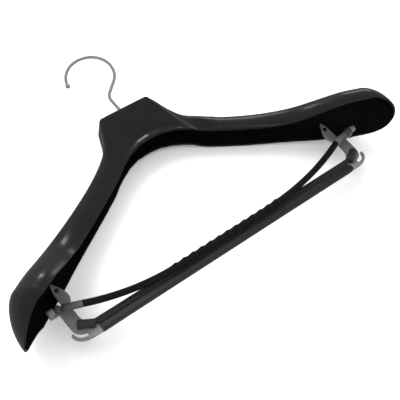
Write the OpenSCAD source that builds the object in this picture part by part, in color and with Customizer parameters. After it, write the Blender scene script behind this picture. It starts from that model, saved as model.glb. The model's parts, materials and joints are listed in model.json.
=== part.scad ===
// Suit and trouser hanger: hollow shoulder body with a square neck, swivelling
// wire hook, two brackets, a trouser rail with a rod on it, and a bowed locking
// bar that swings on the brackets and holds the trousers against the rail.
// X runs along the shoulders, Y runs to the back, Z is up.
// The origin is the hang point: the inside top of the hook.

/* [Shoulder body] */
// thickness of the moulded wall
wall = 2.2; // [1.8:0.1:2.4]
// depth of the boss under the neck's top that carries the hook
boss_depth = 8; // [6:0.5:10]
// distance of the hook's shank in front of the body's own middle plane
neck_back = 3; // [1:0.5:4]

/* [Hook] */
// diameter of the hook's wire
wire_d = 3.4; // [3:0.1:3.6]
// radius of the hook's bow, to the middle of the wire
hook_r = 25.2; // [23:0.2:28]
// height of the bow's centre over the neck's top
hook_h = 56.1; // [52:0.5:62]
// slope of the leaning part between shank and bow
hook_lean = 38; // [34:1:44]
// where the bow ends, measured from the right-hand side
hook_end = 163; // [150:1:172]
// how far the hook stands turned in its bush
hook_yaw = 10; // [0:5:90]
// diameter of the ball on the wire's end
ball_d = 5; // [4.6:0.1:6]

/* [Brackets] */
// thickness of the bracket plates
plate_t = 2.2; // [1.8:0.1:2.4]
// diameter of the pins that hold the brackets in the body
pin_d = 3; // [2.5:0.1:3.5]

/* [Trouser rail] */
// depth of the rail from front to back
rail_d = 8; // [7.5:0.5:10]
// diameter of the rod that lies on the rail
rod_d = 4.8; // [4.2:0.1:4.8]
// diameter of the plugs at the rod's ends
plug_d = 8; // [7:0.2:8.4]

/* [Locking bar] */
// diameter of the locking bar
bar_d = 6.4; // [5.8:0.1:6.4]
// height of the grip ridges
ridge_h = 0.9; // [0.4:0.1:0.9]
// distance from ridge to ridge
ridge_pitch = 10.3; // [9:0.1:10.6]
// how far the bar's right end rises over its middle
bar_rise = 21; // [20:0.1:21.6]
// how far the bar's left end rises over its middle
bar_rise_left = 17.9; // [17.4:0.1:18.4]
// diameter of the trunnions the bar swings on
trunnion_d = 3; // [2.6:0.1:3.2]

/* [Hidden] */
$fn = 64;
drop = hook_h + hook_r - wire_d / 2;   // hang point over the neck's top
wr = wire_d / 2;
front = -2.5;                          // front face of the bracket plates
rail_z = -185.5;                       // underside of the rail
rail_front = -5.8;
rod_y = -3.4;
rod_z = -174.4;
bar_y = -10.3;
pivot_z = -149.6;
pivot_x = 178.6;
bar_r = bar_d / 2;

// Stations along one shoulder, from the middle outwards:
// rim x, rim z, front y, back y, crown x, crown z, corner radius as a share of
// half the width and of the height
st = [
  [0,   -47.5, -13,   14,   0,    0,     .22, .07],
  [14,  -48.5, -13,   14,   10,   0,     .22, .07],
  [28,  -53,   -13,   14,   20,   0,     .22, .065],
  [43,  -61,   -13,   14.5, 30,   0,     .22, .06],
  [47,  -63.5, -11.5, 15,   33.5, -9,    .3,  .1],
  [52,  -67,   -11,   16.5, 37.5, -19,   .42, .2],
  [58,  -71,   -10.5, 17.5, 44,   -29,   .55, .4],
  [66,  -75.5, -10.5, 18,   55,   -39,   .7,  .6],
  [78,  -82.5, -10.5, 18,   72,   -50.5, .85, .75],
  [94,  -91.5, -11,   18,   97,   -64,   1,   .85],
  [114, -103,  -13,   16.5, 123,  -77.5, 1,   .9],
  [136, -116,  -21,   14.5, 149,  -91,   1,   .95],
  [156, -128.5,-36,   12.5, 170,  -103,  1,   1],
  [175, -139.5,-49,   11,   189,  -113.5,1,   1],
  [192, -149.5,-56,   10,   205,  -123,  1,   1]
];
tip = [223.5, -24, -169];
neck_n = 3;      // stations of the square neck
sub = 2;         // steps between stations
tip_n = 6;       // steps round the end of the shoulder
kc = 4;          // steps round a corner of the section
ks = 2;          // steps up a wall

// smooth curve through the stations
function cr(a, b, c, d, t) =
  0.5 * (2 * b + (c - a) * t + (2 * a - 5 * b + 4 * c - d) * t * t
         + (3 * b - a - 3 * c + d) * t * t * t);
arm = [for (i = [neck_n:len(st) - 1]) st[i]];
na = len(arm);
function arm_at(i) = i < 0 ? 2 * arm[0] - arm[1]
                   : i >= na ? 2 * arm[na - 1] - arm[na - 2] : arm[i];
last = arm[na - 1];
function tip_at(a) =
  let (s = sin(a), c = cos(a), s8 = pow(s, .8),
       ym = (last[2] + last[3]) / 2, hw = (last[3] - last[2]) / 2 * pow(max(c, 0), .9),
       zr = last[1] + (tip[2] - last[1]) * pow(s, 1.15),
       y = ym + (tip[1] - ym) * s)
  [last[0] + (tip[0] - last[0]) * s8, zr, y - hw, y + hw,
   last[4] + (tip[0] - last[4]) * s8,
   zr + (last[5] - last[1]) * pow(max(c, 0), .62), 1, 1];
rows = concat(
  [for (i = [0:neck_n - 1]) st[i]],
  [for (i = [0:na - 2], k = [0:sub - 1])
     cr(arm_at(i - 1), arm_at(i), arm_at(i + 1), arm_at(i + 2), k / sub)],
  [for (k = [0:tip_n - 1]) tip_at(90 * k / tip_n)]);

// one section: up the front wall, over the crown, down the back wall
function section(s) =
  let (w = s[3] - s[2], h = s[5] - s[1], ry = min(s[6], 0.98) * w / 2, rz = min(s[7], 0.9) * h,
       p = concat(
         [for (i = [0:ks - 1]) [s[2], s[1] + (h - rz) * i / ks]],
         [for (i = [0:kc - 1]) let (a = 90 * i / kc)
            [s[2] + ry - ry * cos(a), s[5] - rz + rz * sin(a)]],
         [for (i = [0:0]) [s[2] + ry, s[5]]],
         [for (i = [0:kc - 1]) let (a = 90 - 90 * i / kc)
            [s[3] - ry + ry * cos(a) , s[5] - rz + rz * sin(a)]],
         [for (i = [0:ks]) [s[3], s[1] + (h - rz) * (1 - i / ks)]]))
  [for (q = p) let (f = (q[1] - s[1]) / h) [s[0] + (s[4] - s[0]) * f, q[0], q[1]]];

// the sections of the arms have no flat crown, so their doubled crown point is
// pulled apart a little
function spread(p) =
  let (c = ks + kc, d = p[c + 1] - p[c], g = 0.4)
  norm(d) > g ? p
  : [for (i = [0:len(p) - 1]) i == c ? p[i] + [0, -g / 2, 0]
                            : i == c + 1 ? p[i] + [0, g / 2, 0] : p[i]];

half = [for (r = rows) spread(section(r))];
nh = len(half);
m = len(half[0]);
grid = concat(
  [for (i = [nh - 1:-1:1]) [for (p = half[i]) [-p[0], p[1], p[2]]]],
  half);
n = len(grid);
tips = [[-tip[0], tip[1], tip[2]], tip];

// inner face: every point moved inwards by the wall
function row_at(i) = i < 0 ? [for (j = [1:m]) tips[0]] : i >= n ? [for (j = [1:m]) tips[1]] : grid[i];
function unit(v) = v / norm(v);
function inward(i, j) =
  let (a = row_at(i + 1)[j] - row_at(i - 1)[j],
       b = grid[i][min(j + 1, m - 1)] - grid[i][max(j - 1, 0)])
  unit(cross(b, a));
inner = [for (i = [0:n - 1]) [for (j = [0:m - 1])
  let (v = inward(i, j),
       e = j == 0 || j == m - 1,
       u = e ? unit([v[0], v[1], 0]) : v)
  grid[i][j] + wall * u]];
inner_tips = [[wall * 1.4 - tip[0], tip[1], tip[2] + 0.3], [tip[0] - wall * 1.4, tip[1], tip[2] + 0.3]];

module shell_body() {
  pts = concat([for (r = grid) each r], [for (r = inner) each r], tips, inner_tips);
  o = n * m;
  t0 = 2 * o; t1 = t0 + 1; u0 = t0 + 2; u1 = t0 + 3;
  faces = concat(
    [for (i = [0:n - 2], j = [0:m - 2]) each
       [[i * m + j, i * m + j + 1, (i + 1) * m + j + 1],
        [i * m + j, (i + 1) * m + j + 1, (i + 1) * m + j]]],
    [for (i = [0:n - 2], j = [0:m - 2]) each
       [[o + i * m + j, o + (i + 1) * m + j + 1, o + i * m + j + 1],
        [o + i * m + j, o + (i + 1) * m + j, o + (i + 1) * m + j + 1]]],
    // rims
    [for (i = [0:n - 2]) each
       [[i * m, (i + 1) * m, o + (i + 1) * m], [i * m, o + (i + 1) * m, o + i * m]]],
    [for (i = [0:n - 2]) let (e = m - 1) each
       [[i * m + e, o + (i + 1) * m + e, (i + 1) * m + e],
        [i * m + e, o + i * m + e, o + (i + 1) * m + e]]],
    // ends
    [for (j = [0:m - 2]) [t0, j + 1, j]],
    [for (j = [0:m - 2]) [u0, o + j, o + j + 1]],
    [[t0, 0, o], [t0, o, u0], [t0, o + m - 1, m - 1], [t0, u0, o + m - 1]],
    let (q = (n - 1) * m) [for (j = [0:m - 2]) [t1, q + j, q + j + 1]],
    let (q = o + (n - 1) * m) [for (j = [0:m - 2]) [u1, q + j + 1, q + j]],
    let (a = (n - 1) * m, b = o + (n - 1) * m)
      [[t1, b, a], [t1, u1, b], [t1, a + m - 1, b + m - 1], [t1, b + m - 1, u1]]);
  polyhedron(points = pts, faces = faces, convexity = 8);
}

module along_x(x0, x1, r, y, z) translate([x0, y, z]) rotate([0, 90, 0]) cylinder(r = r, h = x1 - x0);
module along_y(y0, y1, r, x, z) translate([x, y0, z]) rotate([-90, 0, 0]) cylinder(r = r, h = y1 - y0);

// everything but the hook hangs below the neck's top
module body_frame() translate([0, neck_back, -drop]) children();
module both() { children(); mirror([1, 0, 0]) children(); }

pin_x = 166.6;
pin_z = -131;
pin_head = 2.3;   // radius of the pins' sunk heads

module body_shell() color([0.07, 0.07, 0.08]) difference() {
  body_frame() union() {
    shell_body();
    // boss for the hook's bush, with four webs under the neck's top
    translate([0, -neck_back, -boss_depth]) cylinder(r = 7, h = boss_depth - 1);
    for (a = [0:90:270]) translate([0, -neck_back, 0]) rotate(a) hull() {
      translate([6, -0.9, -boss_depth + 0.5]) cube([0.5, 1.8, boss_depth - 1.5]);
      translate([6, -0.9, -2]) cube([2.8, 1.8, 1]);
    }
    // blocks that carry the brackets, each standing on the back wall on a web
    both() hull() for (x = [pin_x - 3.2, pin_x + 3.2], z = [pin_z - 2.6, pin_z + 3.4])
      along_y(front + plate_t, front + plate_t + 8.2, 1.5, x, z);
    both() hull() {
      translate([pin_x - 2, front + plate_t + 2, pin_z - 3]) cube([4, 5, 7]);
      translate([pin_x - 2, front + plate_t + 9, pin_z - 1]) cube([4, 1.6, 5]);
    }
  }
  // bore of the bush
  translate([0, 0, -drop - boss_depth - 1]) cylinder(r = 3.02, h = boss_depth + 3);
  // bores of the bracket pins
  both() body_frame() along_y(front + plate_t - 1, front + plate_t + 6, pin_d / 2 + 0.02, pin_x, pin_z);
}

module hook_bush() color([0.75, 0.75, 0.76]) translate([0, 0, -drop]) difference() {
  union() {
    translate([0, 0, -boss_depth - 0.4]) cylinder(r = 3, h = boss_depth + 0.4);
    cylinder(r = 4.6, h = 0.8);
  }
  translate([0, 0, -boss_depth - 2]) cylinder(r = wr + 0.05, h = boss_depth + 5);
}

washer_z = -boss_depth - 0.6;
module hook_retaining_washer() color([0.7, 0.7, 0.72]) translate([0, 0, -drop + washer_z - 1]) difference() {
  cylinder(r = 4.4, h = 1);
  translate([0, 0, -1]) cylinder(r = wr, h = 3);
}

bend_r = 12;
bow_x = hook_r * sin(hook_lean);
bow_z = hook_h - hook_r * cos(hook_lean);
bend_x = bend_r * (1 - sin(hook_lean));
lean_l = (bow_x - bend_x) / cos(hook_lean);
shank_h = bow_z - lean_l * sin(hook_lean) - bend_r * cos(hook_lean);
tail = 3;
end_p = [hook_r * cos(hook_end), hook_h + hook_r * sin(hook_end)];
ball_p = end_p + tail * [-sin(hook_end), cos(hook_end)];

module hook_frame() translate([0, 0, -drop]) rotate([0, 0, -hook_yaw]) children();

// the wire's path in the hook's own plane: x, z, heading and radius, from the
// peened head under the washer up the shank, through the bend and round the bow
wire_path = concat(
  [[0, washer_z - 2.4, 90, 2.2], [0, washer_z - 2.0, 90, 2.6], [0, washer_z - 1, 90, 2.6],
   [0, washer_z - 1, 90, wr], [0, 0, 90, wr], [0, shank_h, 90, wr]],
  [for (k = [1:7]) let (h = 90 - (90 - hook_lean) * k / 7)
     [bend_r - bend_r * sin(h), shank_h + bend_r * cos(h), h, wr]],
  [for (k = [0:30]) let (a = hook_lean - 90 + (hook_end + 90 - hook_lean) * k / 30)
     [hook_r * cos(a), hook_h + hook_r * sin(a), a + 90, wr]],
  [[ball_p[0], ball_p[1], hook_end + 90, wr]]);
wire_n = 20;
module hook_wire() color([0.8, 0.8, 0.82]) hook_frame() {
  k = len(wire_path);
  pts = [for (s = wire_path) each [for (j = [0:wire_n - 1]) let (a = 360 * j / wire_n)
    [s[0] - s[3] * sin(a) * sin(s[2]), s[3] * cos(a), s[1] + s[3] * sin(a) * cos(s[2])]]];
  faces = concat(
    [for (i = [0:k - 2], j = [0:wire_n - 1]) let (q = (j + 1) % wire_n) each
      [[i * wire_n + j, (i + 1) * wire_n + q, i * wire_n + q],
       [i * wire_n + j, (i + 1) * wire_n + j, (i + 1) * wire_n + q]]],
    [[for (j = [0:wire_n - 1]) j]],
    [[for (j = [wire_n - 1:-1:0]) (k - 1) * wire_n + j]]);
  polyhedron(points = pts, faces = faces, convexity = 8);
}

module hook_ball_tip() color([0.8, 0.8, 0.82]) hook_frame() difference() {
  translate([ball_p[0], 0, ball_p[1]]) sphere(d = ball_d);
  translate([ball_p[0], 0, ball_p[1]]) rotate([0, -hook_end + 180, 0]) cylinder(r = wr, h = ball_d);
}

// Bracket: flat plate with a notched inner edge, a loop hook at its foot and an
// eye for the locking bar. Drawn for the right-hand side.
plate_outer = [
  [168.2, -122.6], [169.6, -125.5], [170.5, -131], [170.9, -138.5], [170.6, -143.2], [172, -145.8],
  [174.6, -146.8], [176.5, -147.2], [177.2, -151], [177.3, -158], [177.2, -165], [177, -169], [176.4, -172],
  [175, -174.7], [172.6, -176.8], [170, -178], [168, -178.5], [166.9, -179.2], [166.8, -180.6], [168, -181.5]];
loop_hook = [
  [170, -181.4], [172.2, -181], [174.3, -180], [176.2, -178.4], [177.4, -176.5], [178, -173.8],
  [179, -173], [180, -173.6], [180.3, -175.5], [179.8, -177.6], [178.6, -179.6], [176.8, -181.6],
  [174, -183.4], [170, -184.8], [165, -185.4], [155, -185.5]];
plate_inner = [
  [155, -172.5], [158, -171.3], [161, -169.5], [163.4, -167.2], [164.6, -164.6], [165, -161],
  [164.8, -157], [165.4, -153.8], [164.3, -150], [162.2, -146.4], [160.2, -142.2], [160.1, -138.3],
  [161.7, -132.6], [164.6, -127.6], [167, -123.2]];

plug_a = [171, -169];     // outer end of the plug
plug_b = [157.5, -176.6]; // inner end, on the rail
plug_y = -5.2;
plug_l = norm(plug_a - plug_b);
plug_slope = atan2(plug_b[1] - plug_a[1], plug_a[0] - plug_b[0]);
module plug_solid(r) translate([plug_a[0], plug_y, plug_a[1]])
  rotate([0, -90 + plug_slope, 0]) {
    cylinder(r = r, h = plug_l - 1);
    translate([0, 0, plug_l - 1]) cylinder(r1 = r, r2 = r - 1, h = 1);
  }

module bracket() body_frame() difference() {
  union() {
    translate([0, front + plate_t, 0]) rotate([90, 0, 0])
      linear_extrude(height = plate_t) polygon(concat(plate_outer, loop_hook, plate_inner));
    // tongue into the rail's end
    translate([149, front, -183.5]) cube([7, plate_t, 5]);
    // eye for the locking bar
    along_x(182.6, 188, 3.3, bar_y, pivot_z);
    translate([183, bar_y, pivot_z - 2.4]) cube([3.4, front - bar_y + 1, 4.8]);
    translate([175, front, pivot_z - 2.4]) cube([10.8, plate_t, 4.8]);
  }
  along_x(181, 187.2, trunnion_d / 2 + 0.05, bar_y, pivot_z);
  along_y(front - 1, front + plate_t + 1, pin_d / 2, pin_x, pin_z);
  along_y(front - 1, front + 0.8, pin_head + 0.02, pin_x, pin_z);
  // seat of the rod's end
  along_x(150, 161.02, rod_d / 2 + 0.03, rod_y, rod_z);
  plug_solid(plug_d / 2);
}
module right_bracket() color([0.42, 0.42, 0.42]) bracket();
module left_bracket() color([0.42, 0.42, 0.42]) mirror([1, 0, 0]) bracket();

module bracket_pins() color([0.3, 0.3, 0.31]) both() body_frame() {
  along_y(front + 0.4, front + plate_t + 5.8, pin_d / 2, pin_x, pin_z);
  along_y(front, front + 0.8, pin_head, pin_x, pin_z);
}

rail_top = rod_z - 1.6;
module rail_section() difference() {
  rail_outline();
  // shadow groove along the front, under the top lip
  translate([rail_front - 1, rail_z + 5.4]) square([3.4, 2.7]);
}
module rail_outline() {
  r = 1.6;
  y0 = rail_front; y1 = rail_front + rail_d; z0 = rail_z; z1 = rail_top;
  translate([y0, z0 + r]) square([rail_d, z1 - z0 - r - 0.6]);
  translate([y0 + r, z0]) square([rail_d - 2 * r, z1 - z0]);
  translate([y0 + r, z0 + r]) circle(r = r);
  translate([y1 - r, z0 + r]) circle(r = r);
  translate([y0 + 0.6, z1 - 0.6]) circle(r = 0.6);
  translate([y0 + 0.6, z1 - 0.6]) square([rail_d - 1.2, 0.6]);
  translate([y1 - 0.6, z1 - 0.6]) circle(r = 0.6);
}
module trouser_rail() color([0.4, 0.4, 0.4]) body_frame() difference() {
  translate([-155, 0, 0]) rotate([90, 0, 90]) linear_extrude(height = 310) rail_section();
  // seat of the rod
  along_x(-160, 160, rod_d / 2, rod_y, rod_z);
  // sockets for the brackets' tongues
  both() translate([149, front, -183.5]) cube([7, plate_t, 5]);
  both() plug_solid(plug_d / 2);
}

module rail_rod() color([0.05, 0.05, 0.06]) body_frame()
  along_x(-161, 161, rod_d / 2, rod_y, rod_z);

module rail_plug() body_frame() difference() {
  plug_solid(plug_d / 2);
  along_x(150, 161, rod_d / 2, rod_y, rod_z);
}
module right_rail_plug() color([0.06, 0.06, 0.07]) rail_plug();
module left_rail_plug() color([0.06, 0.06, 0.07]) mirror([1, 0, 0]) rail_plug();

// Locking bar: a bow whose straight part lies a little to the left
bar_end = 158;
bar_low = -174.8;
bend_right = 32;   // where the bow leaves its straight part
bend_left = 60;
function bow_z(x) = x > 0
  ? bar_low + bar_rise * pow(max(0, x - bend_right) / (bar_end - bend_right), 2.23)
  : bar_low + bar_rise_left * pow(max(0, -x - bend_left) / (bar_end - bend_left), 2.23);
function bow_slope(x) = atan2(bow_z(x + 0.5) - bow_z(x - 0.5), 1);
// stations: x and radius; every ridge rises slowly and drops steeply
ridges = 13;
ridge_x0 = -5 - ridge_pitch * (ridges - 1) / 2;
bar_st = concat(
  [[-bar_end - 6, 1.8], [-bar_end - 0.05, 1.8], [-bar_end, bar_r]],
  [for (x = [-150:7:-80]) [x, bar_r]],
  [for (i = [0:ridges - 1]) let (x = ridge_x0 + i * ridge_pitch) each
     [[x - 6.5, bar_r], [x - 1.2, bar_r + ridge_h], [x, bar_r + ridge_h], [x + 0.9, bar_r]]],
  [for (x = [66:7:150]) [x, bar_r]],
  [[bar_end, bar_r], [bar_end + 0.05, 1.8], [bar_end + 6, 1.8]]);
bar_n = 16;
// past its ends the bar runs on straight into the end pieces
function end_z(side) = bow_z(side * bar_end);
function end_slope(side) = atan2(pivot_z - end_z(side), pivot_x - bar_end);
function side_of(x) = x > 0 ? 1 : -1;
function bar_z(x) = abs(x) <= bar_end ? bow_z(x)
  : end_z(side_of(x)) + (abs(x) - bar_end) * tan(end_slope(side_of(x)));
function bar_tilt(x) = abs(x) < bar_end - 3 ? bow_slope(x) : side_of(x) * end_slope(side_of(x));
module bar_body() {
  k = len(bar_st);
  pts = [for (s = bar_st) each
    let (t = bar_tilt(s[0])) [for (j = [0:bar_n - 1]) let (a = 360 * j / bar_n, r = s[1])
      [s[0] - r * sin(a) * sin(t), bar_y + r * cos(a), bar_z(s[0]) + r * sin(a) * cos(t)]]];
  faces = concat(
    [for (i = [0:k - 2], j = [0:bar_n - 1]) let (q = (j + 1) % bar_n) each
      [[i * bar_n + j, (i + 1) * bar_n + q, i * bar_n + q],
       [i * bar_n + j, (i + 1) * bar_n + j, (i + 1) * bar_n + q]]],
    [[for (j = [0:bar_n - 1]) j]],
    [[for (j = [bar_n - 1:-1:0]) (k - 1) * bar_n + j]]);
  polyhedron(points = pts, faces = faces, convexity = 8);
}
module locking_bar() color([0.05, 0.05, 0.06]) body_frame() bar_body();

module bar_end_piece(side) body_frame() difference() {
  union() {
    translate([bar_end, bar_y, end_z(side)]) rotate([0, 90 - end_slope(side), 0])
      cylinder(r = bar_r + 0.15, h = norm([pivot_x - bar_end, pivot_z - end_z(side)]));
    translate([pivot_x, bar_y, pivot_z]) sphere(r = bar_r + 0.5);
    along_x(pivot_x, 186.9, trunnion_d / 2, bar_y, pivot_z);
  }
  translate([bar_end, bar_y, end_z(side)]) rotate([0, 90 - end_slope(side), 0])
    translate([0, 0, -1]) cylinder(r = 1.8, h = 8.4);
}
module right_bar_end() color([0.42, 0.42, 0.42]) bar_end_piece(1);
module left_bar_end() color([0.42, 0.42, 0.42]) mirror([1, 0, 0]) bar_end_piece(-1);

body_shell();
hook_bush();
hook_wire();
hook_ball_tip();
hook_retaining_washer();
left_bracket();
right_bracket();
bracket_pins();
trouser_rail();
rail_rod();
left_rail_plug();
right_rail_plug();
locking_bar();
left_bar_end();
right_bar_end();
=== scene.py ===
# Trouser hanger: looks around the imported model. Metres, Z up, origin at the hang point.
import json
import math

import bmesh
import bpy
import numpy as np
from mathutils import Matrix, Vector

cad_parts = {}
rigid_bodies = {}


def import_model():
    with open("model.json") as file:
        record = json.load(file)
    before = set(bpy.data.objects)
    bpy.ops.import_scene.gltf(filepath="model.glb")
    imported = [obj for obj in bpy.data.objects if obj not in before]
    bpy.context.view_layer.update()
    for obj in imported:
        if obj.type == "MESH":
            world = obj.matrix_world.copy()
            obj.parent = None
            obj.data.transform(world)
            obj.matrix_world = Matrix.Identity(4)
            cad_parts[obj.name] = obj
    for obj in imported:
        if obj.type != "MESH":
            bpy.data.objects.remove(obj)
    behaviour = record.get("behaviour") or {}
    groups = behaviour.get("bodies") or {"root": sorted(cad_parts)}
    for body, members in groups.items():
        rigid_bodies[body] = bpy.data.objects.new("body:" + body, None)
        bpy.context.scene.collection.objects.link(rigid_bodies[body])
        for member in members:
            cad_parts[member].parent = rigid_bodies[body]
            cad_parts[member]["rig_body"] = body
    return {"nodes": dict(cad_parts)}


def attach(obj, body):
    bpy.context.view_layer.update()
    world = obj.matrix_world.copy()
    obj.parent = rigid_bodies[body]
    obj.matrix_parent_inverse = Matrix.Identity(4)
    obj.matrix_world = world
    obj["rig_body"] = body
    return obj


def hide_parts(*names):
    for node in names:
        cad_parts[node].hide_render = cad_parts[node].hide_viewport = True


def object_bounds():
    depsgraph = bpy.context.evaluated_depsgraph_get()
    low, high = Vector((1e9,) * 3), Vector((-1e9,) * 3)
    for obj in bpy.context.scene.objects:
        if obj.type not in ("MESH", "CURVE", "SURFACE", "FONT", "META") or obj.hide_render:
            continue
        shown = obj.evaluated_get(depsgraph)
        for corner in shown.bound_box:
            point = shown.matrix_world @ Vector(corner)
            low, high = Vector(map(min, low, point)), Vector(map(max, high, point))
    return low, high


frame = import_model()
cad_box = [list(map(float, v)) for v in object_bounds()]
NODES = frame["nodes"]
SCENE = bpy.context.scene

# the body's own drawing frame has its zero at the neck's top
BACK, DROP = 3.0, 79.6


def to_m(p):
    p = np.asarray(p, float)
    return (p + np.array([0, BACK, -DROP])) / 1000.0


# ------------------------------------------------------------------ materials
def mat_new(name):
    m = bpy.data.materials.new(name)
    m.use_nodes = True
    nt = m.node_tree
    nt.nodes.clear()
    out = nt.nodes.new("ShaderNodeOutputMaterial")
    bs = nt.nodes.new("ShaderNodeBsdfPrincipled")
    nt.links.new(bs.outputs[0], out.inputs[0])
    return m, nt, bs


def noise(nt, co, scale, detail=3.0, rough=0.5):
    n = nt.nodes.new("ShaderNodeTexNoise")
    n.inputs["Scale"].default_value = scale
    n.inputs["Detail"].default_value = detail
    n.inputs["Roughness"].default_value = rough
    nt.links.new(co, n.inputs["Vector"])
    return n.outputs[0]


def ramp(nt, fac, stops):
    r = nt.nodes.new("ShaderNodeValToRGB")
    e = r.color_ramp.elements
    while len(e) < len(stops):
        e.new(0.5)
    for i, (p, c) in enumerate(stops):
        e[i].position = p
        e[i].color = (*c, 1.0) if len(c) == 3 else c
    nt.links.new(fac, r.inputs[0])
    return r.outputs[0]


def remap(nt, val, a, b, lo=0.3, hi=0.7):
    r = nt.nodes.new("ShaderNodeMapRange")
    r.inputs[1].default_value = lo
    r.inputs[2].default_value = hi
    r.inputs[3].default_value = a
    r.inputs[4].default_value = b
    nt.links.new(val, r.inputs[0])
    return r.outputs[0]


def bump(nt, h, strength, dist, prev=None):
    b = nt.nodes.new("ShaderNodeBump")
    b.inputs["Strength"].default_value = strength
    b.inputs["Distance"].default_value = dist
    nt.links.new(h, b.inputs["Height"])
    if prev is not None:
        nt.links.new(prev, b.inputs["Normal"])
    return b.outputs[0]


def coords(nt, scale=(1, 1, 1)):
    t = nt.nodes.new("ShaderNodeTexCoord")
    mp = nt.nodes.new("ShaderNodeMapping")
    mp.inputs["Scale"].default_value = scale
    nt.links.new(t.outputs["Object"], mp.inputs["Vector"])
    return mp.outputs[0]


def plastic(name, dark, light, r0, r1, grain=0.10, grain_scale=2600.0, wave=0.06, spec=0.5,
            coat=0.0, coat_r=0.1, edge=None):
    """Moulded plastic: colour a little uneven, roughness blotchy, fine grain and slow sink waves; with edge set, a
    painted highlight: convex edges and rims get a lighter colour.
    """
    m, nt, bs = mat_new(name)
    co = coords(nt)
    big = noise(nt, co, 22.0, 3.0)
    mid = noise(nt, co, 240.0, 4.0, 0.6)
    col = ramp(nt, big, [(0.32, dark), (0.68, light)])
    # painted highlight: where pointiness is high (convex edges, rims, bevels) the lighter edge colour is mixed in,
    # standing in for glints along the edges
    if edge is not None:
        g = nt.nodes.new("ShaderNodeNewGeometry")
        f = remap(nt, g.outputs["Pointiness"], 0.0, 1.0, 0.515, 0.60)
        mx = nt.nodes.new("ShaderNodeMix")
        mx.data_type = "RGBA"
        nt.links.new(f, mx.inputs[0])
        nt.links.new(col, mx.inputs[6])
        mx.inputs[7].default_value = (*edge, 1.0)
        col = mx.outputs[2]
    nt.links.new(col, bs.inputs["Base Color"])
    nt.links.new(remap(nt, mid, r0, r1), bs.inputs["Roughness"])
    bs.inputs["Specular IOR Level"].default_value = spec
    bs.inputs["Coat Weight"].default_value = coat
    bs.inputs["Coat Roughness"].default_value = coat_r
    fine = noise(nt, co, grain_scale, 2.0)
    slow = noise(nt, co, 55.0, 1.0)
    b1 = bump(nt, slow, wave, 0.0015)
    b2 = bump(nt, fine, grain, 0.00012, b1)
    nt.links.new(b2, bs.inputs["Normal"])
    return m


def metal(name, dark, light, r0, r1, along=(40, 40, 3000), grain=0.05):
    m, nt, bs = mat_new(name)
    co = coords(nt)
    big = noise(nt, co, 60.0, 2.0)
    nt.links.new(ramp(nt, big, [(0.3, dark), (0.7, light)]), bs.inputs["Base Color"])
    bs.inputs["Metallic"].default_value = 1.0
    mid = noise(nt, co, 700.0, 3.0)
    nt.links.new(remap(nt, mid, r0, r1), bs.inputs["Roughness"])
    lines = noise(nt, coords(nt, along), 1.0, 2.0)
    nt.links.new(bump(nt, lines, grain, 0.00006), bs.inputs["Normal"])
    return m


# the edge colours given below are painted highlights: lighter than each base colour, laid on convex edges by pointiness
M_SHELL = plastic("black_shell", (0.003, 0.003, 0.0036), (0.005, 0.005, 0.0058), 0.17, 0.24,
                  grain=0.03, wave=0.012, spec=0.5, edge=(0.02, 0.02, 0.022))
M_INSIDE = plastic("black_inside", (0.0025, 0.0025, 0.003), (0.004, 0.004, 0.0045), 0.5, 0.62,
                   grain=0.12, wave=0.02, spec=0.05)
M_CHROME = metal("chrome_wire", (0.74, 0.74, 0.76), (0.86, 0.86, 0.87), 0.08, 0.16)
M_BUSH = metal("bush_metal", (0.5, 0.5, 0.51), (0.62, 0.62, 0.63), 0.25, 0.38, grain=0.1)
M_WASHER = metal("washer_steel", (0.48, 0.48, 0.5), (0.62, 0.62, 0.64), 0.3, 0.45, grain=0.12)
M_PIN = metal("pin_steel", (0.2, 0.2, 0.21), (0.3, 0.3, 0.31), 0.3, 0.45, grain=0.1)
M_BRACKET = plastic("grey_bracket", (0.115, 0.115, 0.108), (0.15, 0.15, 0.142), 0.38, 0.5,
                    grain=0.16, wave=0.08, edge=(0.2, 0.2, 0.19))
M_RAIL = plastic("grey_rail", (0.0018, 0.0018, 0.0017), (0.0032, 0.0032, 0.003), 0.26, 0.34,
                 grain=0.14, wave=0.1, spec=0.22, edge=(0.03, 0.03, 0.029))
M_ROD = plastic("black_rod", (0.008, 0.008, 0.009), (0.014, 0.014, 0.015), 0.24, 0.36, grain=0.08, wave=0.05)
M_PLUG = plastic("black_plug", (0.012, 0.012, 0.015), (0.02, 0.02, 0.024), 0.36, 0.46, grain=0.1, wave=0.05)
M_BAR = plastic("black_bar", (0.002, 0.002, 0.002), (0.004, 0.004, 0.004), 0.3, 0.42, grain=0.1, wave=0.06,
                spec=0.25, edge=(0.012, 0.012, 0.012))
M_BAREND = plastic("grey_bar_end", (0.026, 0.026, 0.0245), (0.038, 0.038, 0.0355), 0.38, 0.5, grain=0.14, wave=0.06,
                   edge=(0.2, 0.2, 0.19))


# -------------------------------------------------------------------- meshes
def piece(name, verts, faces, mat, body, nodes=(), sharp=35.0, second=None, index=None):
    me = bpy.data.meshes.new(name)
    me.from_pydata([tuple(map(float, v)) for v in verts], [], [tuple(map(int, f)) for f in faces])
    if index is not None:
        me.polygons.foreach_set("material_index", index)
    bm = bmesh.new()
    bm.from_mesh(me)
    bmesh.ops.remove_doubles(bm, verts=bm.verts, dist=1e-7)
    bmesh.ops.recalc_face_normals(bm, faces=bm.faces)
    bm.to_mesh(me)
    bm.free()
    me.shade_smooth()
    me.set_sharp_from_angle(angle=math.radians(sharp))
    me.materials.append(mat)
    if second is not None:
        me.materials.append(second)
    ob = bpy.data.objects.new(name, me)
    SCENE.collection.objects.link(ob)
    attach(ob, body)
    if nodes:
        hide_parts(*nodes)
    return ob


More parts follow.
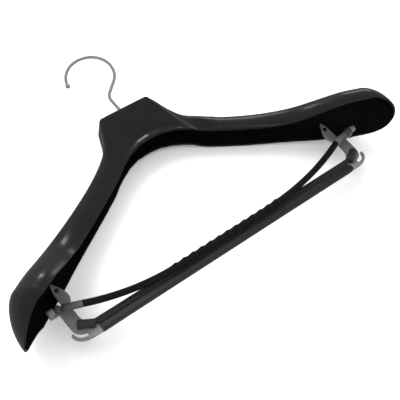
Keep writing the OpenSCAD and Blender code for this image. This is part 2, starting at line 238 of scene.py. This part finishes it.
class Build:
    """Vertices and faces of several closed forms in one mesh."""

    def __init__(self):
        self.v, self.f = [], []

    def add(self, verts, faces):
        o = len(self.v)
        self.v.extend([tuple(p) for p in verts])
        self.f.extend([[i + o for i in f] for f in faces])

    def sweep(self, pts, tans, radii, n, e1=(0, 1, 0), cap=True):
        e1 = np.array(e1, float)
        rings = []
        for p, t, r in zip(pts, tans, radii):
            t = np.array(t, float)
            t /= np.linalg.norm(t)
            a = e1 - t * e1.dot(t)
            a /= np.linalg.norm(a)
            b = np.cross(t, a)
            for j in range(n):
                w = 2 * math.pi * j / n
                rings.append(np.array(p) + r * (math.cos(w) * a + math.sin(w) * b))
        k = len(pts)
        fs = []
        for i in range(k - 1):
            for j in range(n):
                q = (j + 1) % n
                fs.append([i * n + j, i * n + q, (i + 1) * n + q, (i + 1) * n + j])
        if cap:
            fs.append([j for j in range(n)][::-1])
            fs.append([(k - 1) * n + j for j in range(n)])
        self.add(rings, fs)

    def turned(self, origin, axis, profile, n=48, e1=(0, 1, 0)):
        """A turned form: profile is (distance along the axis, radius)."""
        axis = np.array(axis, float)
        axis /= np.linalg.norm(axis)
        pts = [np.array(origin) + axis * d for d, _ in profile]
        self.sweep(pts, [axis] * len(pts), [r for _, r in profile], n, e1)


# -------------------------------------------------------------- shoulder body
ST = np.array([
    [0, -47.5, -13, 14, 0, 0, .22, .07],
    [14, -48.5, -13, 14, 10, 0, .22, .07],
    [28, -53, -13, 14, 20, 0, .22, .065],
    [38.5, -58.5, -13, 14.3, 26.6, 0, .23, .065],
    [41.2, -60, -13, 14.4, 28.6, -0.5, .27, .09],
    [43, -61, -12.9, 14.5, 30.1, -1.9, .33, .14],
    [44.5, -62, -12.7, 14.7, 31.3, -4.1, .4, .2],
    [47, -63.5, -12.2, 15, 33.4, -9, .47, .28],
    [52, -67, -11.6, 16.5, 37.5, -19, .52, .34],
    [58, -71, -10.8, 17.5, 44, -29, .6, .45],
    [66, -75.5, -10.5, 18, 55, -39, .7, .6],
    [78, -82.5, -10.5, 18, 72, -50.5, .85, .75],
    [94, -91.5, -11, 18, 97, -64, 1, .85],
    [114, -103, -13, 16.5, 123, -77.5, 1, .9],
    [136, -116, -21, 14.5, 149, -91, 1, .95],
    [156, -128.5, -36, 12.5, 170, -103, 1, 1],
    [175, -139.5, -49, 11, 189, -113.5, 1, 1],
    [192, -149.5, -56, 10, 205, -123, 1, 1]], float)
TIP = np.array([223.5, -24, -169.])


def spline(a, b, c, d, t):
    return 0.5 * (2 * b + (c - a) * t + (2 * a - 5 * b + 4 * c - d) * t * t + (3 * b - a - 3 * c + d) * t ** 3)


def stations():
    out = []
    for i in range(3):
        for k in range(7):
            t = k / 7
            out.append(ST[i] * (1 - t) + ST[i + 1] * t)
    A = ST[3:]
    n = len(A)
    for i in range(n - 1):
        p0 = A[i - 1] if i > 0 else 2 * A[0] - A[1]
        p3 = A[i + 2] if i + 2 < n else 2 * A[n - 1] - A[n - 2]
        for k in range(8):
            out.append(spline(p0, A[i], A[i + 1], p3, k / 8))
    last = A[-1]
    m = 34
    for k in range(m):
        a = math.pi / 2 * (1 - (1 - k / m) ** 1.7)
        s, c = math.sin(a), math.cos(a)
        ym = (last[2] + last[3]) / 2
        hw = (last[3] - last[2]) / 2 * c ** .9
        y = ym + (TIP[1] - ym) * s
        zr = last[1] + (TIP[2] - last[1]) * s ** 1.15
        out.append(np.array([last[0] + (TIP[0] - last[0]) * s ** .8, zr, y - hw, y + hw,
                             last[4] + (TIP[0] - last[4]) * s ** .8,
                             zr + (last[5] - last[1]) * c ** .62, 1, 1]))
    return out


NF, NR = 14, 66     # points up the lowest 8 mm of the front wall, and round the rest


def profile(s):
    """The section in its own plane, as (y, z) points from the front rim to the back rim."""
    _, zr, yf, yb, _, zc, fy, fz = s
    w, h = yb - yf, zc - zr
    fy, fz = min(fy, 0.985), min(fz, 0.94)
    ry, rz = fy * w / 2, fz * h
    z0 = min(8.0, 0.3 * h)
    pts = []
    q = np.linspace(0, math.pi / 2, 60)
    front = [(yf, z) for z in np.linspace(zr, zc - rz, 40)[:-1]]
    front += [(yf + ry - ry * math.cos(a), zc - rz + rz * math.sin(a)) for a in q]
    top = [(y, zc) for y in np.linspace(yf + ry, yb - ry, 22)[1:-1]] if w - 2 * ry > 0.2 else []
    back = [(yb - ry + ry * math.cos(a), zc - rz + rz * math.sin(a)) for a in q[::-1]]
    back += [(yb, z) for z in np.linspace(zc - rz, zr, 40)[1:]]
    P = np.array(front + top + back)
    fz_ = np.array(front)
    low = [(np.interp(zr + z0 * k / NF, fz_[:, 1], fz_[:, 0]), zr + z0 * k / NF) for k in range(NF)]
    y0 = np.interp(zr + z0, fz_[:, 1], fz_[:, 0])
    keep = np.array([(y0, zr + z0)] + [tuple(p) for i, p in enumerate(P) if not (i < len(front) and p[1] <= zr + z0 + 1e-6)])
    d = np.diff(keep, axis=0)
    ds = np.hypot(d[:, 0], d[:, 1])
    ang = np.unwrap(np.arctan2(d[:, 1], d[:, 0] + 1e-12))
    turn = np.abs(np.concatenate([[0], np.diff(ang)]))
    cost = np.concatenate([[0], np.cumsum(ds + min(10.0, h * 0.4) * turn)])
    u = np.linspace(0, cost[-1], NR)
    rest = np.stack([np.interp(u, cost, keep[:, 0]), np.interp(u, cost, keep[:, 1])], -1)
    return np.concatenate([np.array(low), rest])


def step01(x):
    x = np.clip(x, 0, 1)
    return x * x * (3 - 2 * x)


def shell_grids():
    S = stations()
    base = []
    for s in S:
        p = profile(s)
        f = (p[:, 1] - s[1]) / (s[5] - s[1])
        base.append(np.stack([s[0] + (s[4] - s[0]) * f, p[:, 0], p[:, 1]], -1))
    base = np.array(base)
    full = np.concatenate([base[:0:-1] * np.array([-1, 1, 1]), base])
    # normals of the plain form
    gi = np.gradient(full, axis=0)
    gj = np.gradient(full, axis=1)
    nrm = np.cross(gi, gj)
    nrm /= np.maximum(np.linalg.norm(nrm, axis=2, keepdims=True), 1e-9)
    mid = full.shape[0] // 2
    if nrm[mid, NF + NR // 2, 2] < 0:
        nrm = -nrm
    th = np.full(full.shape[:2], 2.2)
    for i, s in enumerate(S):
        t = min(2.2, 0.4 * (s[3] - s[2]) / 2, 0.4 * (s[5] - s[1]))
        th[mid + i] = t
        th[mid - i] = t
    edge = nrm.copy()
    for j in (0, -1):
        edge[:, j, 2] = 0
    edge /= np.maximum(np.linalg.norm(edge, axis=2, keepdims=True), 1e-9)
    inner = full - edge * th[:, :, None]
    # raised details of the outer face
    X = np.abs(full[:, :, 0])
    Z = full[:, :, 2]
    zr = full[:, :1, 2]
    xr = np.abs(full[:, :1, 0])
    zh = Z - zr
    ymid = (full[:, :1, 1] + full[:, -1:, 1]) / 2
    isf = step01((ymid - full[:, :, 1]) / 4)
    dy = np.zeros_like(Z)
    # lip along the lower edge of the front wall, running out into the rim
    hb = 5.6 * (1 - np.clip((xr - 74) / 50, 0, 1)) ** 0.9
    fade = step01((xr - 66) / 9) * step01((126 - xr) / 14)
    dy -= 1.0 * step01((hb - zh) / 0.7 + 0.5) * fade * isf * (xr > 60)
    # the neck's front panel stands proud and ends in a slanting step
    line = 69 + (Z + 74) * (6 / 14)
    dy -= 0.75 * step01((line - X) / 1.0 + 0.5) * step01((X - 46) / 18) * isf * (zh > -1)
    # the panel flares a little at the rim under the neck
    dy -= 1.3 * np.exp(-(zh / 8.0) ** 2) * step01((52 - xr) / 26) * isf
    # the panel's side edges: a bevel, and a finer one outside it
    e1 = 28.0 + 0.223 * (-4 - Z)
    e2 = 33.1 + 0.279 * (-17.6 - Z)
    out1 = step01((64 - X) / 16) * isf
    dy += 1.15 * step01((X - e1) / 2.4) * out1 * step01((-1 - Z) / 4)
    dy += 0.45 * step01((X - e2) / 1.3) * out1 * step01((-14 - Z) / 6)
    # a shallow scoop over the rim
    q = np.clip(np.abs(zh - 8.5 + 0.06 * xr) / 6.5, 0, 1)
    dy += 1.7 * 0.5 * (1 + np.cos(math.pi * q)) * isf * step01((40 - xr) / 10) * (zh < 18)
    outer = full.copy()
    outer[:, :, 1] += dy
    return outer, inner, mid


def build_shell():
    outer, inner, mid = shell_grids()
    n, m = outer.shape[:2]
    lim_lo, lim_hi = cad_box
    B = Build()
    # lip rows between outer and inner face
    def lip(o, i):
        rows = []
        for t in (0.0, 0.12, 0.32, 0.5, 0.68, 0.88, 1.0):
            p = o * (1 - t) + i * t
            p = p.copy()
            p[:, 2] += 0.55 * (1 - math.sin(math.pi * t) ** 0.6)
            rows.append(p)
        return rows
    front = lip(outer[:, 0], inner[:, 0])
    back = lip(outer[:, -1], inner[:, -1])
    loop = []
    # ring order: outer front to outer back, back lip, inner back to front, front lip
    cols = [outer[:, j].copy() for j in range(m)]
    cols[0] = front[0]
    cols[-1] = back[0]
    cols += back[1:-1]
    ic = [inner[:, j].copy() for j in range(m)][::-1]
    ic[0] = back[-1]
    ic[-1] = front[-1]
    cols += ic
    cols += front[1:-1][::-1]
    G = np.stack(cols, 1)
    L = G.shape[1]
    V = to_m(G.reshape(-1, 3))
    F = []
    inside = []
    for i in range(n - 1):
        for j in range(L):
            q = (j + 1) % L
            F.append([i * L + j, i * L + q, (i + 1) * L + q, (i + 1) * L + j])
            inside.append(1 if m + 5 <= j < 2 * m + 4 else 0)
    V = list(V)
    # close both ends: outer columns to the outer tip, inner columns to the inner tip
    tip_o = {}
    for side, row in ((-1, 0), (1, n - 1)):
        to = to_m([side * (TIP[0] - 0.05), TIP[1], TIP[2] + 0.05])
        ti = to_m([side * (TIP[0] - 0.9), TIP[1], TIP[2] + 0.3])
        a = len(V)
        V += [to, ti]
        ring = [row * L + j for j in range(L)]
        mi = m + 5                     # first inner column
        me_ = mi + m - 1
        for j in range(L):
            q = (j + 1) % L
            if j < m - 1:
                F.append([ring[j], ring[q], a])
                inside.append(0)
            elif mi <= j < me_:
                F.append([ring[j], ring[q], a + 1])
                inside.append(1)
        # lips: fan, half to each tip
        for lo, hi in ((m - 1, mi), (me_, L)):
            idx = [ring[j % L] for j in range(lo, hi + 1)]
            h = len(idx) // 2
            for k in range(len(idx) - 1):
                F.append([idx[k], idx[k + 1], a if (k < h) == (lo == m - 1) else a + 1])
                inside.append(0)
            F.append([idx[h], a, a + 1])
            inside.append(0)
    B.add(V, F)
    # boss for the hook, with webs
    c = to_m([0, -BACK, 0])
    k = 0.001
    B.turned(c, (0, 0, -1), [(1.2 * k, 7.4 * k), (2.0 * k, 7.2 * k), (2.6 * k, 7.0 * k), (7.2 * k, 7.0 * k),
                             (7.7 * k, 6.8 * k), (8.0 * k, 6.3 * k), (8.0 * k, 3.1 * k), (6.5 * k, 3.0 * k)], 56)
    for a in range(4):
        w = math.pi / 2 * a
        d = np.array([math.cos(w), math.sin(w), 0]); t = np.array([-math.sin(w), math.cos(w), 0])
        prof = [(6.0, -1.2), (9.0, -1.2), (9.0, -2.1), (8.2, -3.0), (7.3, -5.2), (6.6, -7.3), (6.0, -7.4)]
        A = [c + (d * r + t * 0.9 + np.array([0, 0, z])) * k for r, z in prof]
        Bv = [c + (d * r - t * 0.9 + np.array([0, 0, z])) * k for r, z in prof]
        nn = len(prof)
        fs = [list(range(nn)), list(range(2 * nn - 1, nn - 1, -1))]
        fs += [[i, (i + 1) % nn, nn + (i + 1) % nn, nn + i] for i in range(nn)]
        B.add(A + Bv, fs)
    # blocks behind the brackets
    for sx in (1, -1):
        cx, cz = 166.6, -130.6
        def ring(y, hw, hh, r):
            out = []
            for (ax, az, a0) in ((1, 1, 0), (-1, 1, 90), (-1, -1, 180), (1, -1, 270)):
                for q in range(6):
                    w = math.radians(a0 + 90 * q / 5)
                    out.append(to_m([sx * (cx + ax * (hw - r) + r * math.cos(w)), y, cz + az * (hh - r) + r * math.sin(w)]))
            return out
        rows = [ring(-0.28, 4.3, 4.1, 1.4), ring(0.0, 4.7, 4.5, 1.5), ring(6.0, 4.7, 4.5, 1.5), ring(9.9, 3.9, 2.9, 1.2)]
        nn = len(rows[0])
        vs = [p for r in rows for p in r]
        fs = [[i * nn + j, i * nn + (j + 1) % nn, (i + 1) * nn + (j + 1) % nn, (i + 1) * nn + j]
              for i in range(3) for j in range(nn)]
        fs += [list(range(nn)), list(range(4 * nn - 1, 3 * nn - 1, -1))]
        B.add(vs, fs)
    inside += [1] * (len(B.f) - len(inside))
    ob = piece("shoulder_shell", B.v, B.f, M_SHELL, "hanger_body", ("body_shell",), sharp=42,
               second=M_INSIDE, index=inside)
    return ob


shell = build_shell()

# ------------------------------------------------------------------------ hook
WR, HR, HH, LEAN, HEND, YAW, BEND, TAIL = 1.7, 25.2, 56.1, 38.0, 163.0, 10.0, 12.0, 3.0


def hook_point(u, z):
    a = math.radians(-YAW)
    return np.array([u * math.cos(a), u * math.sin(a), z - DROP]) / 1000.0


def hook_dir(h):
    a = math.radians(-YAW)
    c, s = math.cos(math.radians(h)), math.sin(math.radians(h))
    return np.array([c * math.cos(a), c * math.sin(a), s])


def build_hook():
    sl = math.sin(math.radians(LEAN)); cl = math.cos(math.radians(LEAN))
    bow_x, bow_z = HR * sl, HH - HR * cl
    bend_x = BEND * (1 - sl)
    lean_l = (bow_x - bend_x) / cl
    shank = bow_z - lean_l * sl - BEND * cl
    wz = -8.6
    path = [(0, wz - 2.35, 90, 1.4), (0, wz - 2.25, 90, 2.1), (0, wz - 2.0, 90, 2.5), (0, wz - 1.6, 90, 2.58),
            (0, wz - 1.1, 90, 2.58), (0, wz - 1.0, 90, 2.5), (0, wz - 0.99, 90, WR)]
    path += [(0, z, 90, WR) for z in np.linspace(-6, shank, 12)]
    path += [(BEND - BEND * math.sin(math.radians(h)), shank + BEND * math.cos(math.radians(h)), h, WR)
             for h in np.linspace(90, LEAN, 17)[1:]]
    path += [(bend_x + lean_l * cl * t, shank + BEND * cl + lean_l * sl * t, LEAN, WR) for t in (0.25, 0.5, 0.75)]
    path += [(HR * math.cos(math.radians(a)), HH + HR * math.sin(math.radians(a)), a + 90, WR)
             for a in np.linspace(LEAN - 90, HEND, 90)]
    ex, ez = HR * math.cos(math.radians(HEND)), HH + HR * math.sin(math.radians(HEND))
    dx, dz = -math.sin(math.radians(HEND)), math.cos(math.radians(HEND))
    path += [(ex + dx * t, ez + dz * t, HEND + 90, WR) for t in (1.0, 2.0, 3.0)]
    B = Build()
    a = math.radians(-YAW)
    side = (-math.sin(a), math.cos(a), 0)
    B.sweep([hook_point(p[0], p[1]) for p in path], [hook_dir(p[2]) for p in path],
            [p[3] / 1000.0 for p in path], 36, side)
    piece("hook_wire_bent", B.v, B.f, M_CHROME, "hook", ("hook_wire",), sharp=50)
    # ball end: a drop that swells out of the wire
    B = Build()
    bc = np.array([ex + dx * TAIL, ez + dz * TAIL])
    R = 2.5
    prof = []
    for w in np.linspace(0, 180, 30):
        d = -math.cos(math.radians(w)) * R
        r = math.sin(math.radians(w)) * R
        if d < 0 and r < WR + 0.02:
            continue
        prof.append((d / 1000.0, max(r, 0.02) / 1000.0))
    prof = [(-2.35 / 1000, (WR + 0.02) / 1000), (-2.0 / 1000, (WR + 0.06) / 1000)] + [p for p in prof if p[0] > -1.85 / 1000]
    B.turned(hook_point(bc[0], bc[1]), hook_dir(HEND + 90), prof, 40, side)
    piece("hook_ball", B.v, B.f, M_CHROME, "hook", ("hook_ball_tip",), sharp=60)


build_hook()

# ----------------------------------------------------------------- locking bar
BAR_END, PX, PZ, BY = 158.0, 178.6, -149.6, -10.3


def bow_z(x):
    if x > 0:
        return -174.8 + 21.0 * (max(0.0, x - 32) / (BAR_END - 32)) ** 2.23
    return -174.8 + 17.9 * (max(0.0, -x - 60) / (BAR_END - 60)) ** 2.23


def bar_z(x):
    if abs(x) <= BAR_END:
        return bow_z(x)
    e = bow_z(math.copysign(BAR_END, x))
    return e + (abs(x) - BAR_END) * (PZ - e) / (PX - BAR_END)


def build_bar():
    r0, rh = 3.2, 0.9
    st = [(-BAR_END - 5, 1.78), (-BAR_END - 0.3, 1.78), (-BAR_END - 0.05, 2.7), (-BAR_END + 0.2, 3.1), (-BAR_END + 0.6, r0)]
    st += [(x, r0) for x in np.linspace(-155, -74, 34)]
    x0 = -5 - 10.3 * 6
    for i in range(13):
        x = x0 + 10.3 * i
        st += [(x - 6.6, r0), (x - 5.4, r0 + 0.10), (x - 3.4, r0 + 0.42), (x - 1.5, r0 + 0.82), (x - 0.9, r0 + rh - 0.03),
               (x - 0.45, r0 + rh), (x, r0 + rh - 0.04), (x + 0.3, r0 + rh - 0.2), (x + 0.5, r0 + 0.3), (x + 0.75, r0 + 0.06),
               (x + 1.3, r0)]
    st += [(x, r0) for x in np.linspace(62, 155, 38)]
    st += [(BAR_END - 0.6, r0), (BAR_END - 0.2, 3.1), (BAR_END + 0.05, 2.7), (BAR_END + 0.3, 1.78), (BAR_END + 5, 1.78)]
    pts, tans, rad = [], [], []
    for x, r in st:
        pts.append(to_m([x, BY, bar_z(x)]))
        h = 0.5
        tans.append((2 * h, 0, bar_z(x + h) - bar_z(x - h)))
        rad.append(r / 1000)
    B = Build()
    B.sweep(pts, tans, rad, 40)
    piece("locking_bar_bow", B.v, B.f, M_BAR, "locking_bar", ("locking_bar",), sharp=50)
    for side, nm in ((1, "right_bar_end"), (-1, "left_bar_end")):
        B = Build()
        zb = bow_z(side * BAR_END)
        a = to_m([side * BAR_END, BY, zb]); b = to_m([side * PX, BY, PZ])
        L = np.linalg.norm(b - a)
        ax = (b - a) / L
        k = 0.001
        # sleeve with a rolled mouth, a waist line and a round knuckle
        prof = [(0.6 * k, 2.0 * k), (0.05 * k, 2.6 * k), (0.0, 3.0 * k), (0.15 * k, 3.28 * k), (0.5 * k, 3.35 * k), (16.6 * k, 3.35 * k)]
        for w in np.linspace(-62, 90, 22):
            d = L + math.sin(math.radians(w)) * 3.7 * k
            r = math.cos(math.radians(w)) * 3.7 * k
            if d > 17.2 * k:
                prof.append((d, max(r, 0.03 * k)))
        B.turned(a, ax, prof, 44)
        B.turned(to_m([side * PX, BY, PZ]), (side, 0, 0),
                 [(0, 1.5 * k), (7.7 * k, 1.5 * k), (8.1 * k, 1.4 * k), (8.26 * k, 1.1 * k)], 36)
        piece(nm + "_sleeve", B.v, B.f, M_BAREND, "locking_bar", (nm,), sharp=50)


build_bar()


# --------------------------------------------- rounded copies of the CAD pieces
def rounded(node, name, mat, width, segs=3, angle=32.0, extra=None):
    src = NODES[node]
    me = src.data.copy()
    me.name = name
    bm = bmesh.new()
    bm.from_mesh(me)
    bmesh.ops.remove_doubles(bm, verts=bm.verts, dist=2e-6)
    bmesh.ops.dissolve_limit(bm, angle_limit=math.radians(0.6), verts=bm.verts, edges=bm.edges)
    bmesh.ops.recalc_face_normals(bm, faces=bm.faces)
    bm.to_mesh(me)
    bm.free()
    me.materials.clear()
    me.materials.append(mat)
    me.shade_smooth()
    ob = bpy.data.objects.new(name, me)
    SCENE.collection.objects.link(ob)
    bv = ob.modifiers.new("soft_edges", "BEVEL")
    bv.width = width
    bv.segments = segs
    bv.limit_method = "ANGLE"
    bv.angle_limit = math.radians(angle)
    bv.use_clamp_overlap = True
    bv.harden_normals = False
    bpy.context.view_layer.update()
    dg = bpy.context.evaluated_depsgraph_get()
    done = bpy.data.meshes.new_from_object(ob.evaluated_get(dg))
    ob.modifiers.clear()
    ob.data = done
    done.shade_smooth()
    done.set_sharp_from_angle(angle=math.radians(30))
    body = src["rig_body"]
    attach(ob, body)
    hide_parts(node)
    return ob


rounded("left_bracket", "left_bracket_plate", M_BRACKET, 0.00035)
rounded("right_bracket", "right_bracket_plate", M_BRACKET, 0.00035)
rounded("trouser_rail", "trouser_rail_bar", M_RAIL, 0.0003)
rounded("left_rail_plug", "left_plug", M_PLUG, 0.0005)
rounded("right_rail_plug", "right_plug", M_PLUG, 0.0005)

for node, mat in (("hook_bush", M_BUSH), ("hook_retaining_washer", M_WASHER), ("bracket_pins", M_PIN), ("rail_rod", M_ROD)):
    o = NODES[node]
    for sl in o.material_slots:
        sl.material = mat
    if not o.material_slots:
        o.data.materials.append(mat)

# --------------------------------------------------------------- camera, light
R = np.array([[0.7674, -0.1475, -0.6239], [-0.4591, 0.5529, -0.6954], [0.4476, 0.8201, 0.3566]])
u_, _, vt_ = np.linalg.svd(R)
R = u_ @ vt_
CAM = np.array([-0.3682, -0.6736, -0.4997])
FPX = 855.38
cam = bpy.data.cameras.new("camera")
cam.sensor_fit = "HORIZONTAL"
cam.sensor_width = 36.0
cam.lens = FPX * 36.0 / 400.0
cam.clip_start = 0.01
cam.clip_end = 20.0
camo = bpy.data.objects.new("camera", cam)
SCENE.collection.objects.link(camo)
mw = Matrix.Identity(4)
for i in range(3):
    mw[i][0] = R[0][i]
    mw[i][1] = -R[1][i]
    mw[i][2] = -R[2][i]
    mw[i][3] = CAM[i]
camo.matrix_world = mw
SCENE.camera = camo
SCENE.view_settings.view_transform = "Standard"

# pale table top behind the lying hanger, covering the view
PLANE_Y = 0.0225
hits = []
for uu in (-40, 440):
    for vv in (-40, 440):
        d = R.T @ np.array([(uu - 200) / FPX, (vv - 200) / FPX, 1.0])
        hits.append(CAM + d * (PLANE_Y - CAM[1]) / d[1])
hits = np.array(hits)
x0, z0 = hits[:, 0].min(), hits[:, 2].min()
x1, z1 = hits[:, 0].max(), hits[:, 2].max()
fm = bpy.data.meshes.new("table_top")
fm.from_pydata([(x0, PLANE_Y, z0), (x1, PLANE_Y, z0), (x1, PLANE_Y, z1), (x0, PLANE_Y, z1)], [], [(0, 1, 2, 3)])
floor = bpy.data.objects.new("table_top", fm)
SCENE.collection.objects.link(floor)
m = bpy.data.materials.new("table_white")
m.use_nodes = True
nt = m.node_tree
bs = nt.nodes["Principled BSDF"]
out = nt.nodes["Material Output"]
co = coords(nt)
nt.links.new(ramp(nt, noise(nt, co, 3.0, 2.0), [(0.3, (0.93, 0.93, 0.93)), (0.7, (0.95, 0.95, 0.95))]), bs.inputs["Base Color"])
bs.inputs["Roughness"].default_value = 0.85
bs.inputs["Specular IOR Level"].default_value = 0.2
eye = nt.nodes.new("ShaderNodeBsdfDiffuse")
eye.inputs["Color"].default_value = (0.97, 0.97, 0.97, 1)
dim = nt.nodes.new("ShaderNodeBsdfDiffuse")
dim.inputs["Color"].default_value = (0.13, 0.13, 0.13, 1)
m3 = nt.nodes.new("ShaderNodeMixShader")
tr = nt.nodes.new("ShaderNodeBsdfTransparent")
mx = nt.nodes.new("ShaderNodeMixShader")
m2 = nt.nodes.new("ShaderNodeMixShader")
gm = nt.nodes.new("ShaderNodeNewGeometry")
lp = nt.nodes.new("ShaderNodeLightPath")
mu = nt.nodes.new("ShaderNodeMath")
mu.operation = "MULTIPLY"
nt.links.new(gm.outputs["Backfacing"], mu.inputs[0])
nt.links.new(lp.outputs["Is Camera Ray"], mu.inputs[1])
nt.links.new(lp.outputs["Is Camera Ray"], m2.inputs[0])
nt.links.new(lp.outputs["Is Glossy Ray"], m3.inputs[0])
nt.links.new(bs.outputs[0], m3.inputs[1])
nt.links.new(dim.outputs[0], m3.inputs[2])
nt.links.new(m3.outputs[0], m2.inputs[1])
nt.links.new(eye.outputs[0], m2.inputs[2])
nt.links.new(mu.outputs[0], mx.inputs[0])
nt.links.new(m2.outputs[0], mx.inputs[1])
nt.links.new(tr.outputs[0], mx.inputs[2])
nt.links.new(mx.outputs[0], out.inputs[0])
fm.materials.append(m)

w = bpy.data.worlds.new("studio")
SCENE.world = w
w.use_nodes = True
wn = w.node_tree
bg = wn.nodes["Background"]
bg.inputs[0].default_value = (1, 1, 1, 1)
lpw = wn.nodes.new("ShaderNodeLightPath")
mr = wn.nodes.new("ShaderNodeMapRange")
mr.inputs[3].default_value = 1.28
mr.inputs[4].default_value = 0.36
wn.links.new(lpw.outputs["Is Glossy Ray"], mr.inputs[0])
wn.links.new(mr.outputs[0], bg.inputs[1])


def area(name, pos, target, size, power, sy=None, mirrored=True):
    l = bpy.data.lights.new(name, "AREA")
    l.energy = power
    l.shape = "RECTANGLE"
    l.size = size
    l.size_y = sy or size
    o = bpy.data.objects.new(name, l)
    SCENE.collection.objects.link(o)
    o.location = pos
    o.rotation_euler = (Vector(target) - Vector(pos)).to_track_quat("-Z", "Y").to_euler()
    o.visible_glossy = mirrored
    return o


area("key", (-0.25, -1.25, 0.85), (0, 0, -0.14), 0.9, 20.0, mirrored=False)
area("window", (0.37, -0.19, 0.9), (-0.02, 0, -0.12), 0.1, 0.45, 0.18)
area("side_window", (0.9, -0.13, 0.56), (0.03, 0, -0.1), 0.2, 0.5, 0.5)
